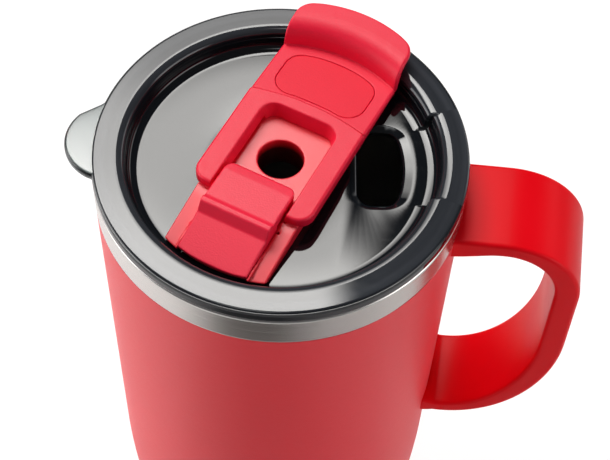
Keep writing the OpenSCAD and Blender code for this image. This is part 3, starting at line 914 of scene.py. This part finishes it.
def lid_profile():
    """Half section (r, z) from the deck over the flange and gasket groove to the underside."""
    dish = [(36.0, -DECK), (36.9, -DECK)]
    dish += bow(dish[-1], 4.5, 0, 25, 7)
    dish += bow(dish[-1], 2.0, 25, 80, 9)
    dish += rounded([(*dish[-1], 0), (40.06, -2.58, 0.05), (40.24, -2.52, 0.06),
                     (40.37, -1.67, 0)], 6, True)[1:]
    dish += bow(dish[-1], 1.8, 80, 25, 9)
    dish += bow(dish[-1], 3.7, 25, 0, 7)
    dish[-1] = (dish[-1][0], 0.0)
    under_z = -FLANGE_T + 0.02
    rest = rounded([(44.45, 0, 0), (48.7, 0, 0.9), (RIM_R, -1.4, 0.6), (RIM_R, under_z, 0.75),
                    (43.95, under_z, 0.25), (43.95, -9.4, 0.15), (42.2, -9.4, 0.15),
                    (42.2, -13.4, 0.15), (43.95, -13.4, 0.15), (43.95, -16.2, 0.8),
                    (40.2, -16.2, 0.6), (40.2, -10.2, 0.8), (38.6, LID_UNDER, 0.8),
                    (36.0, LID_UNDER, 0)], 7, True)[1:]
    return np.array(supports(dish + rest, 0.08, 0.8))


def lid_angles():
    """Whole degrees, with closer steps at the two edges of the pour sector."""
    near = [-1.2, -0.9, -0.7, -0.5, -0.3, -0.15, 0.15, 0.3, 0.5, 0.7, 0.9, 1.2]
    fine = [s * (POUR_HALF + d) % 360 for s in (1, -1) for d in near]
    whole = [a for a in np.arange(0, 360, 1.0)
             if all(abs((a - s * POUR_HALF + 180) % 360 - 180) > 1.25 for s in (1, -1))]
    return np.array(sorted(set(round(a, 3) for a in whole + fine)))


def lid_body():
    """The profile turned about Z, wider in the pour sector."""
    profile, angles = lid_profile(), lid_angles()
    count, m = len(angles), len(profile)
    edge_start = np.argmax(profile[:, 0] > SLOPE_R - 0.01)
    off = np.abs((angles + 180) % 360 - 180)
    t = np.clip((POUR_HALF + 0.75 - off) / 1.5, 0, 1)
    shifts = POUR_OUT * (t * t * (3 - 2 * t))
    verts, faces = [], []
    for angle, shift in zip(angles, shifts):
        a = radians(angle)
        for j, (r, z) in enumerate(profile):
            if j < edge_start and r > 36.1:
                r += shift * min(1.0, (SLOPE_R - r) / (SLOPE_R - FLAT_R))
            if r > FLAT_R + shift and z > -0.5:
                z -= SLOPE * (min(r, SLOPE_R) - FLAT_R - shift)
            verts.append((r * cos(a), r * sin(a), z))
    for i in range(count):
        k = (i + 1) % count
        for j in range(m - 1):
            faces.append((i * m + j, i * m + j + 1, k * m + j + 1, k * m + j))
    return verts, faces, range(0, count * m, m), range(m - 1, count * m, m)


def drink_rings():
    """Rings of points down the drink opening, which is wider on its +X side."""
    half, far = 11.8, 32.0      # half width, and radius of the far side about the axis
    a0 = degrees(asin(half / far)) - 8
    corner_x = sqrt(far * far - half * half)
    outline = ([(20, half, 4), (corner_x, half, 4)] + arc(0, far, a0, -a0, 12)
               + [(corner_x, -half, 4), (20, -half, 4)])
    points = resample(rounded(outline, 14), 0.55)
    normals = outward(points)
    wide = 0.9 * np.clip(normals[:, 0], 0, 1) ** 3
    # (growth of the outline, z, share of the +X widening)
    steps = [(2.0, -DECK, 1.0), (1.86, -DECK - 0.01, 1.0), (1.7, -DECK - 0.05, 0.97),
             (1.5, -DECK - 0.14, 0.9), (0.55, -DECK - 0.62, 0.2), (0.3, -DECK - 0.76, 0.05),
             (0.12, -DECK - 0.92, 0), (0.03, -DECK - 1.1, 0), (0, -DECK - 1.3, 0),
             (0, -7.7, 0), (0.08, -7.95, 0), (0.3, LID_UNDER, 0)]
    return [np.column_stack([points + normals * (grow + share * wide[:, None]),
                             np.full(len(points), z)]) for grow, z, share in steps]


def hub_rings():
    """Rings of points down the hub hole and round its collar below the deck."""
    profile = [(HUB_R + 0.38, -DECK), (HUB_R + 0.2, -DECK - 0.05), (HUB_R + 0.1, -DECK - 0.2),
               (HUB_R + 0.08, -DECK - 0.4), (HUB_R + 0.08, -10.8), (HUB_R + 0.2, -11),
               (12.2, -11), (12.4, -10.8), (12.4, -8.3), (12.55, LID_UNDER)]
    angles = [2 * pi * k / 120 for k in range(120)]
    return [[(r * cos(a), r * sin(a), z) for a in angles] for r, z in profile]


def inside(P, q):
    """Whether the point q lies in the polygon P."""
    x, y = P[:, 0], P[:, 1]
    x2, y2 = np.roll(x, -1), np.roll(y, -1)
    spans = (y > q[1]) != (y2 > q[1])
    at = x + (q[1] - y) / np.where(y2 == y, 1e-12, y2 - y) * (x2 - x)
    return np.count_nonzero(spans & (q[0] < at)) % 2 == 1


def flat_fill(verts, outer, holes):
    """Faces between a closed outer loop of vertex ids and closed inner loops, in one plane."""
    ids, edges, polygons = [], [], []
    for loop in (outer, *holes):
        first, n = len(ids), len(loop)
        ids += loop
        edges += [(first + k, first + (k + 1) % n) for k in range(n)]
        polygons.append(np.array([verts[i][:2] for i in loop]))
    points = [Vector((verts[i][0], verts[i][1])) for i in ids]
    spots, _, faces, sources, _, _ = delaunay_2d_cdt(points, edges, [], 0, 1e-6)
    out = []
    for f in faces:
        middle = np.mean([[spots[i][0], spots[i][1]] for i in f], 0)
        if inside(polygons[0], middle) and not any(inside(h, middle) for h in polygons[1:]):
            out.append(tuple(ids[sources[i][0]] for i in f))
    return out


def make_lid():
    verts, faces, deck_edge, under_edge = lid_body()
    deck_holes, under_holes = [], []
    for rings in (drink_rings(), hub_rings()):
        first, n = len(verts), len(rings[0])
        for ring in rings:
            verts += [tuple(p) for p in ring]
        faces += bridges(len(rings), n, first)
        deck_holes.append(range(first, first + n))
        under_holes.append(range(len(verts) - n, len(verts)))
    faces += flat_fill(verts, deck_edge, deck_holes)
    faces += flat_fill(verts, under_edge, under_holes)
    put("lid", verts, faces, "lid", M_LID, LID, slot="smoke_clear", replaces="lid_body",
        weld=True, sharp=45)


EAR_Y, EAR_R = 2.62, 12.5       # middle and radius of the ear's round end
EAR_TIP = 56.17                 # its reach towards -X
EAR_TOP, EAR_UNDER, EAR_EDGE = -0.4, -2.9, 0.95


def on_rim(y):
    """Sharp corner on the lid's -X side, just inside its rim."""
    return (-sqrt(47.7 * 47.7 - y * y), y, 0)


def make_ear():
    end = [(EAR_R - EAR_TIP + EAR_R * cos(radians(a)), EAR_Y + EAR_R * sin(radians(a)), 0)
           for a in range(138, 244, 3)]
    outline = rounded([on_rim(EAR_Y + EAR_R + 4.0), (-46.9, EAR_Y + EAR_R - 0.42, 5)] + end
                      + [(-47.9, EAR_Y - EAR_R + 0.88, 2.5), on_rim(EAR_Y - EAR_R - 7)], 20)
    points = resample(outline, 0.4)
    normals = outward(points)
    turn = [radians(a) for a in (0, 15, 30, 45, 60, 75, 90)]
    # rings as (inset, z): over the upper edge, then under the lower one
    rings = [(EAR_EDGE * (1 - sin(a)), EAR_TOP - EAR_EDGE * (1 - cos(a))) for a in turn]
    rings += [(EAR_EDGE * (1 - cos(a)), EAR_UNDER + EAR_EDGE * (1 - sin(a))) for a in turn]
    n = len(points)
    verts = [(p[0] - q[0] * inset, p[1] - q[1] * inset, z)
             for inset, z in rings for p, q in zip(points, normals)]
    faces = bridges(len(rings), n)
    faces += [tuple(range(n)), tuple(range((len(rings) - 1) * n, len(rings) * n))]
    put("lid_ear", verts, faces, "lid", M_EAR, LID, slot="smoke_clear", weld=True, sharp=45)


make_lid()
make_ear()

# ------------------------------------------------------------------ closure bar
BAR_HW = 16.86                  # half width of the cover
TAB_Z, TAB_TIP, TIP_R = 5.35, 47.9, 35      # tab top, its reach in x, radius of its end
BASE_HW = 14.45                 # half width of the rotor
RAIL_Z, FLOOR_Z, UNDER_Z = -1.65, -3.6, -5.6    # rotor's rail tops, floor and underside
FORK = -18.2                    # the rotor forks into two prongs below this x
PRONG_HW = 9.96                 # half width of the gap between the prongs
CHANNEL_HW = 10.9               # half width of the slider's channel
COVER_Z = 0.9                   # highest top face of the cover
STEP_X, STEP_R = 16.5, 63.0     # curved step down to the cover's tilted face
BADGE_HW, BADGE_R, BADGE_STEP_R = 12.9, 33.5, 64.4  # half width, +X end arc, -X end arc
BADGE_T = 0.9
ARC_X = STEP_X - STEP_R


def chord_x(radius, half):
    """Distance from an arc's centre to its chord of the given half length."""
    return sqrt(radius ** 2 - half ** 2)


# outlines from above: (x, y, corner radius)
_tip_x = TAB_TIP - TIP_R + chord_x(TIP_R, BAR_HW)
cover_sd = outline_sd(rounded(
    [(-17.9, BAR_HW, 4.4), (_tip_x, BAR_HW, 5.5)] + arc(TAB_TIP - TIP_R, TIP_R, 20, -20, 24)
    + [(_tip_x, -BAR_HW, 5.5), (-17.9, -BAR_HW, 4.4)], 14))
window_sd = outline_sd(rounded(
    [(-30, 10.85, 0), (12.9, 10.85, 4.2), (12.9, -10.85, 4.2), (-30, -10.85, 0)], 14))
_near_x = ARC_X + chord_x(BADGE_STEP_R, BADGE_HW)
_far_x = chord_x(BADGE_R, BADGE_HW)
badge_sd = outline_sd(rounded(
    [(_near_x, BADGE_HW, 5), (_far_x, BADGE_HW, 5)] + arc(0, BADGE_R, 13, -13, 12)
    + [(_far_x, -BADGE_HW, 5), (_near_x, -BADGE_HW, 5)] + arc(ARC_X, BADGE_STEP_R, -5, 5, 8), 14))
pad_sd = outline_sd(rounded(
    [(17.55, 13.25, 3), (32.25, 13.25, 3), (35.25, 0, 20), (32.25, -13.25, 3),
     (17.55, -13.25, 3)], 10))
slider_low_sd = outline_sd(rounded(
    [(-8.8, 9.2, 3), (-8.8, -9.2, 3), (-45, -9.2, 0), (-45, 9.2, 0)], 12))
slider_top_sd = outline_sd(rounded(
    [(-9.2, 9.9, 3.4), (-8.62, 4, 30), (-8.62, -4, 30), (-9.2, -9.9, 3.4),
     (-45, -9.9, 0), (-45, 9.9, 0)], 12))
# section of the tab's riser: (r, z)
riser_sd = outline_sd(
    [(36.6, FLOOR_Z)]
    + spline([(36.68, -1.6), (37.02, 0.55), (37.5, 2.2), (38.35, 3.65), (39.6, 4.65),
              (41.2, 5.2), (43, TAB_Z)], 6)
    + [(56, TAB_Z), (56, TAB_Z - 2)]
    + spline([(43.2, TAB_Z - 2), (42.2, TAB_Z - 2.15), (41, TAB_Z - 2.7),
              (40.1, TAB_Z - 3.8), (39.5, 0.2), (38.5, FLOOR_Z)], 4))
# side view of the slider: (x, z, corner radius)
slider_side_sd = outline_sd(rounded(
    [(-8.8, -3.5, 0.3), (-8.8, -0.6, 0.45), (-9.7, 0.95, 1.3), (-12.5, 1.45, 6),
     (-22.3, 1.85, 2.2), (-23.3, 2.5, 0.75), (-24.6, 2.35, 0.75), (-26.3, -0.35, 0.9),
     (-37.4, -3.2, 0.5), (-37.4, -5.4, 0.3), (-35.5, -5.4, 0.3), (-35.5, -3.5, 0.3)], 10))

FACE_SIN, FACE_COS = sin(radians(4.4)), cos(radians(4.4))       # tilt of the cover's face
PRONG_SIN, PRONG_COS = sin(radians(8.6)), cos(radians(8.6))     # fall of the prongs


def face_frame(x, z):
    """Place along the cover's tilted face, and height above it."""
    along = (x - 14) * FACE_COS - (z - 0.35) * FACE_SIN + 14
    return along, (x - 14) * FACE_SIN + (z - 0.35) * FACE_COS


def cover(P):
    x, y, z = P.T
    side = np.abs(y)
    radius = np.hypot(x, y)
    outline = cover_sd(x, y)
    along, above = face_frame(x, z)
    # flat top, stepping down to the tilted face, with a groove along the step
    step = np.hypot(x - STEP_X + STEP_R, y) - STEP_R
    top = meet(z - COVER_Z, join(step, above, 0.12), 0.2)
    top = cut(top, np.maximum(np.abs(step - 0.22) - 0.2, -0.42 - above), 0.12)
    slab = overlap(meet(outline, top, 0.85), radius - 36.75, FLOOR_Z - z)
    tab = meet(outline, riser_sd(radius, z), 0.75)
    body = join(slab, tab, 0.2)
    # window, narrowing downwards
    body = cut(body, (window_sd(x, y) + (COVER_Z - z) * 0.267) * 0.966, 0.3)
    # underneath: channel, room for the two rails, room for the rotor's sides
    body = cut(body, overlap(side - CHANNEL_HW, x - 9.6, z + 2.3))
    body = cut(body, overlap(np.abs(side - 12.7) - 1.8, x - 13.05, z - RAIL_Z))
    body = cut(body, np.maximum(BASE_HW - 0.01 - side, z + 2.2), 0.25)
    # pocket for the badge
    return cut(body, np.maximum(badge_sd(along, y) - 0.13, -BADGE_T - above), 0.12)


def badge(P):
    x, y, z = P.T
    along, above = face_frame(x, z)
    return meet(meet(badge_sd(along, y), above + 0.03, 0.16), -BADGE_T - above, 0.1)


def rotor(P):
    x, y, z = P.T
    side = np.abs(y)
    radius = np.hypot(x, y)
    # floor slab, a rail on each side and the two prongs
    tall = meet(side - BASE_HW, z - RAIL_Z, 0.45)
    slab = meet(side - BASE_HW, z - FLOOR_Z, 0.3)
    rail = meet(meet(tall, CHANNEL_HW - side, 0.3), x - 13, 0.2)
    prong = meet(meet(tall, PRONG_HW - side, 0.15), x - FORK, 0.05)
    body = np.minimum(np.minimum(slab, rail), prong)
    body = cut(body, meet(side - PRONG_HW, x - FORK, 0.3), 0.12)
    # notch inside the prongs, their falling tops and a thin fence along each
    body = cut(body, overlap(side - CHANNEL_HW, between(x, -21.6, FORK + 0.01),
                             between(z, FLOOR_Z, -2.35)))
    fall = (z - RAIL_Z) * PRONG_COS - (x - FORK) * PRONG_SIN
    body = meet(body, np.where(x < FORK + 0.2, fall, -9), 0.45)
    fence_top = z + np.maximum(3.0, 0.95 - 0.2545 * (x + 26.3))
    fence = meet(meet(between(side, 9.94, 10.6), fence_top, 0.12), x + 21.35, 0.1)
    body = np.minimum(body, np.maximum(fence, UNDER_Z - z))
    # round ends, bevelled at the underside
    bevel = (radius - 36.9 + (UNDER_Z - z)) * 0.7071
    ends = meet(meet(radius - 38.3, bevel, 0.8), radius - 38.3, 0.1)
    body = meet(meet(body, ends, 0.5), UNDER_Z - z, 0.25)
    # hub with its bore and the groove round it
    hub = meet(radius - HUB_R, between(z, -13.4, -4.8), 0.3)
    body = cut(join(body, hub, 0.05), radius - 6.05, 0.35)
    body = cut(body, np.maximum(between(radius, 7.8, 11), between(z, -12.6, -11.1)))
    # ring groove and pad recess in the underside
    body = cut(body, np.maximum(between(radius, 10.2, 12.2),
                                between(z, UNDER_Z - 0.4, UNDER_Z + 1.0)))
    return cut(body, np.maximum(pad_sd(x, y), z - (UNDER_Z + 1.1)))


def slider(P):
    x, y, z = P.T
    side = np.abs(y)
    radius = np.hypot(x, y)
    # outline from above: narrow below, wide on top, and wide all through at the -X end
    low = meet(slider_low_sd(x, y), z + 0.85, 0.2)
    top = meet(slider_top_sd(x, y), -0.9 - z, 0.25)
    plate = np.maximum(side - 9.9, x + 20.5)
    body = meet(slider_side_sd(x, z), join(np.minimum(low, plate), top, 0.1), 0.5)
    body = meet(body, meet(radius - 37.8, (radius - 36.9 + (-5.4 - z) * 0.45) * 0.91, 0.5), 0.5)
    # tongue that reaches out to both sides, and a round recess in the underside
    tongue = overlap(side - 10.6, between(x, -21.2, -10.6), between(z, -3.45, -2.5))
    body = np.minimum(body, tongue)
    return cut(body, np.maximum(np.hypot(x + 16.8, y) - 7.25, between(z, -4.2, -2.6)))


COARSER = 1.0
# shape, low and high corner of its grid, grid pitch, body, material, slot, what it replaces
for shape, low, high, pitch, body, mat, slot, replaced in (
        (cover, (-18.2, -17.2, -4), (48.2, 17.2, 5.7), 0.25,
         "closure_bar", M_COVER, "cover_red", "cover_frame"),
        (badge, (17, -13.2, -2.6), (34.2, 13.2, 1), 0.22,
         "closure_bar", M_BADGE, "badge_red", "cover_badge"),
        (rotor, (-38.8, -14.8, -13.8), (38.8, 14.8, -1), 0.28,
         "closure_bar", M_ROTOR, "rotor_red", "rotor_base"),
        (slider, (-38.2, -10.9, -5.8), (-8.2, 10.9, 3.2), 0.22,
         "slider", M_SLIDER, "cover_red", "straw_slider")):
    verts, faces, normals = contour(shape, low, high, pitch * COARSER)
    put(shape.__name__, verts, faces, body, mat, BAR, slot=slot, replaces=replaced,
        normals=normals, sharp=None)


# ------------------------------------------------------------------ floor, metres
def floor_paint():
    """Pale paint that glows to the camera and darkens near the mug in reflections."""
    m = Material("floor_paint")
    ray = m.node("ShaderNodeLightPath").outputs
    glossy = ray["Is Glossy Ray"]
    paint = m.mix(m.noise(scale=3, detail=2), (0.88, 0.88, 0.88), (0.9, 0.9, 0.9))
    spot = m.node("ShaderNodeTexGradient", gradient_type="SPHERICAL")
    m.link(m.mapping(scale=(8.0, 6.5, 1), location=(0.16, 1.2, 0)), spot.inputs[0])
    shade = m.times(m.times(spot.outputs["Fac"], 1.6, clamp=True), glossy)
    m.set(Base_Color=m.mix(shade, paint, (0.14, 0.135, 0.13)), Roughness=0.7)
    glow = m.node("ShaderNodeEmission")
    m.link(m.scaled(glossy, factor=1.4, offset=1.2), glow.inputs[1])
    # reflections also see some of the glow towards -X
    x = m.separate(m.place)[0]
    west = m.fade(m.scaled(x, factor=-4.0, offset=0.0, clamp=True),
                  span=(0.25, 0.6), levels=(0.0, 0.12))
    glow_share = m.plus(m.times(ray["Is Camera Ray"], 0.62), m.times(west, glossy))
    both = m.node("ShaderNodeMixShader")
    for source, socket in zip((glow_share, m.bsdf.outputs[0], glow.outputs[0]), both.inputs):
        m.link(source, socket)
    m.link(both.outputs[0], m.out.inputs[0])
    return m.data


mesh = bpy.data.meshes.new("floor")
mesh.from_pydata([(-6, -6, 0), (6, -6, 0), (6, 6, 0), (-6, 6, 0)], [], [(0, 1, 2, 3)])
floor = link_object("floor", mesh)
mesh.materials.append(floor_paint())


# ------------------------------------------------------------------ world
def make_world():
    """Near-white to the camera; to all else grey, darker upwards and towards +Y."""
    world = bpy.data.worlds.new("studio")
    bpy.context.scene.world = world
    world.use_nodes = True
    tree = world.node_tree
    tree.nodes.clear()
    link = tree.links.new
    direction = add_node(tree, "ShaderNodeSeparateXYZ")
    link(add_node(tree, "ShaderNodeTexCoord").outputs["Generated"], direction.inputs[0])
    rise = color_ramp(tree, direction.outputs[2],
                      [(0.0, (0.36, 0.36, 0.37)), (0.5, (0.10, 0.10, 0.105))])
    behind = add_node(tree, "ShaderNodeMapRange")
    link(direction.outputs[1], behind.inputs["Value"])
    for key, value in (("From Min", -0.1), ("From Max", 0.5), ("To Min", 1.05), ("To Max", 0.35)):
        behind.inputs[key].default_value = value
    dim = add_node(tree, "ShaderNodeVectorMath", operation="SCALE")
    link(rise, dim.inputs[0])
    link(behind.outputs[0], dim.inputs["Scale"])
    pick = add_node(tree, "ShaderNodeMix", data_type="RGBA")
    link(add_node(tree, "ShaderNodeLightPath").outputs["Is Camera Ray"], pick.inputs[0])
    link(dim.outputs[0], pick.inputs[6])
    pick.inputs[7].default_value = (1.02, 1.02, 1.02, 1)
    background = add_node(tree, "ShaderNodeBackground")
    link(pick.outputs[2], background.inputs[0])
    link(background.outputs[0], add_node(tree, "ShaderNodeOutputWorld").inputs[0])


make_world()

# ------------------------------------------------------------------ lights, metres
SOFT = ((0, 0), (0.3, 1), (0.7, 1), (1, 0))     # (place across the face, level)


def softbox(name, loc, aim, size, level, across=SOFT, upward=SOFT, color=(1, 1, 1)):
    """Area light whose face shines at level, graded across and up by stops."""
    width, height = size
    light = bpy.data.lights.new(name, "AREA")
    light.shape = "RECTANGLE"
    light.size, light.size_y = size
    light.energy = level * pi * width * height
    light.color = color
    light.use_nodes = True
    tree = light.node_tree
    face = add_node(tree, "ShaderNodeNewGeometry")
    parts = add_node(tree, "ShaderNodeSeparateXYZ")
    tree.links.new(face.outputs["Parametric"], parts.inputs[0])
    product = add_node(tree, "ShaderNodeMath", operation="MULTIPLY")
    for axis, stops in enumerate((across, upward)):
        grade = color_ramp(tree, parts.outputs[axis], stops, "EASE")
        tree.links.new(grade, product.inputs[axis])
    tree.links.new(product.outputs[0], tree.nodes["Emission"].inputs["Strength"])
    ob = link_object(name, light)
    ob.location = loc
    ob.rotation_euler = (Vector(aim) - Vector(loc)).to_track_quat("-Z", "Y").to_euler()


softbox("softbox_back", loc=(-0.368, 0.72, 1.2), aim=(-0.368, 0.0, 0.2), size=(0.8, 0.75),
        level=15.5, across=((0, 0), (0.06, 1), (0.975, 1), (1, 0)),
        upward=((0, 0.05), (0.3, 0.32), (0.5, 0.68), (0.72, 1), (0.82, 0.95), (0.93, 0.6), (1, 0)),
        color=(1, 0.985, 0.955))
softbox("softbox_top", loc=(-0.12, -0.1, 1.3), aim=(-0.05, 0.0, 0.2), size=(0.5, 0.36), level=3.4)
softbox("card_side", loc=(0.85, 0.75, 0.5), aim=(0, 0, 0.2), size=(0.7, 0.45), level=1.8)
softbox("softbox_left", loc=(-1.25, -0.1, 0.5), aim=(0, 0, 0.15), size=(1.3, 1.3), level=3.8)
softbox("softbox_right", loc=(1.3, -0.35, 0.5), aim=(0, 0, 0.15), size=(1.2, 1.2), level=2.9)

# ------------------------------------------------------------------ camera
CAMERA_DIST = 425.405217        # mm from the middle of the flange top
CAMERA_RISE = radians(53.737)   # elevation above the flange
PAN, TILT, ROLL = radians(-0.905), radians(-2.727), radians(-1.462)
LENS, SENSOR = 97.217705, 36    # mm


def rotate(v, axis, a):
    return v * cos(a) + np.cross(axis, v) * sin(a) + axis * (axis @ v) * (1 - cos(a))


def make_camera():
    """Camera on the lid frame's -Y side, aimed at the flange and then panned, tilted, rolled."""
    forward = np.array([0, cos(CAMERA_RISE), -sin(CAMERA_RISE)])
    right = np.array([1.0, 0, 0])
    up = np.cross(right, forward)
    place = -CAMERA_DIST * forward
    forward, right = rotate(forward, up, PAN), rotate(right, up, PAN)
    forward, up = rotate(forward, right, TILT), rotate(up, right, TILT)
    right, up = rotate(right, forward, ROLL), rotate(up, forward, ROLL)
    data = bpy.data.cameras.new("camera")
    data.lens = LENS
    data.sensor_width = SENSOR
    data.clip_start, data.clip_end = 0.01, 50
    camera = link_object("camera", data)
    turn = LID[:3, :3]
    matrix = np.eye(4)
    matrix[:3, :3] = np.column_stack([turn @ right, turn @ up, -(turn @ forward)])
    matrix[:3, 3] = (turn @ place + LID[:3, 3]) * 0.001
    camera.matrix_world = Matrix(matrix.tolist())
    bpy.context.scene.camera = camera


make_camera()
view = bpy.context.scene.view_settings
view.view_transform = "Standard"
view.look = "None"
view.exposure = 0.0
view.gamma = 1.0
